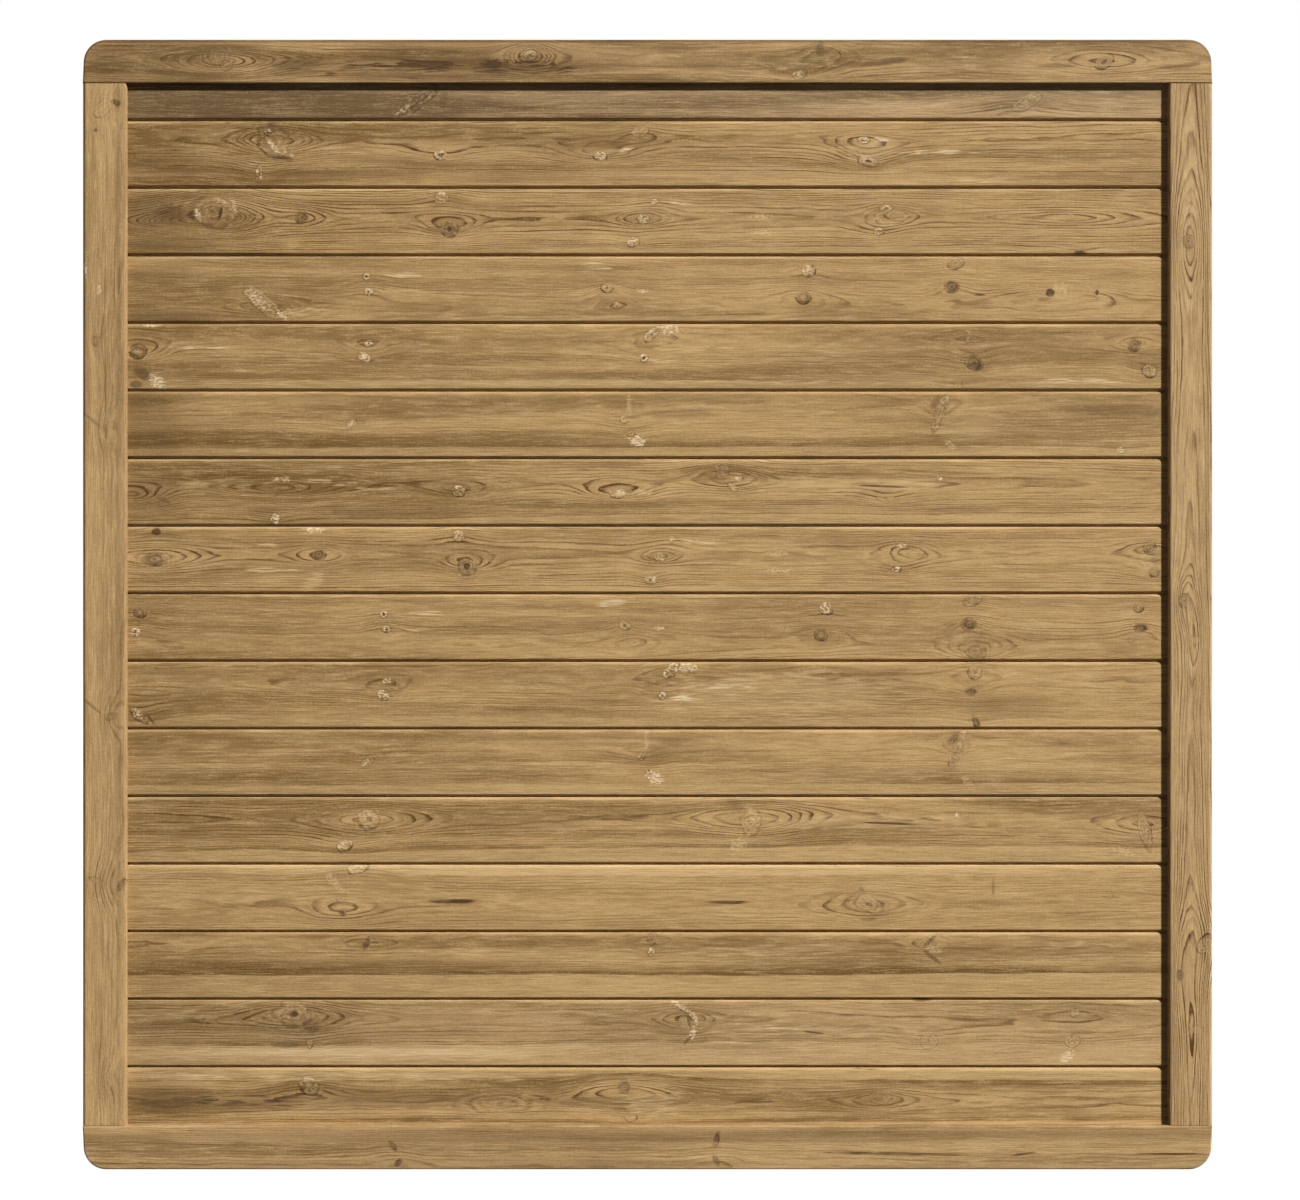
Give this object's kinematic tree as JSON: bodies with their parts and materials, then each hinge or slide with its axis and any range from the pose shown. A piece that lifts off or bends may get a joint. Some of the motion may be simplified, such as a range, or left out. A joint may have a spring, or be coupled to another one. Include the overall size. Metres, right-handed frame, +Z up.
{
  "type": "slatted fence panel",
  "caption": "Square garden fence panel: level tongue and groove boards let into a grooved softwood frame with rounded outer corners.",
  "frame": {"origin": "middle of the bottom rail's underside: halfway along it and halfway through the panel's depth", "axes": "+X along the boards to the right seen from the front, +Y from the front face to the back, +Z up"},
  "size_m": [1.8, 0.04, 1.8],
  "materials": {
    "frame_wood": "planed softwood, tanned green-brown by pressure treatment, satin to matt",
    "board_wood": "planed softwood, tanned green-brown by pressure treatment, satin to matt",
    "plated_steel": "dull zinc plating"
  },
  "bodies": {
    "root": {"top_rail": "frame_wood", "bottom_rail": "frame_wood", "left_stile": "frame_wood", "right_stile": "frame_wood", "corner_screws": "plated_steel", "board_01": "board_wood", "board_02": "board_wood", "board_03": "board_wood", "board_04": "board_wood", "board_05": "board_wood", "board_06": "board_wood", "board_07": "board_wood", "board_08": "board_wood", "board_09": "board_wood", "board_10": "board_wood", "board_11": "board_wood", "board_12": "board_wood", "board_13": "board_wood", "board_14": "board_wood", "board_15": "board_wood", "board_16": "board_wood"}
  },
  "joints": []
}
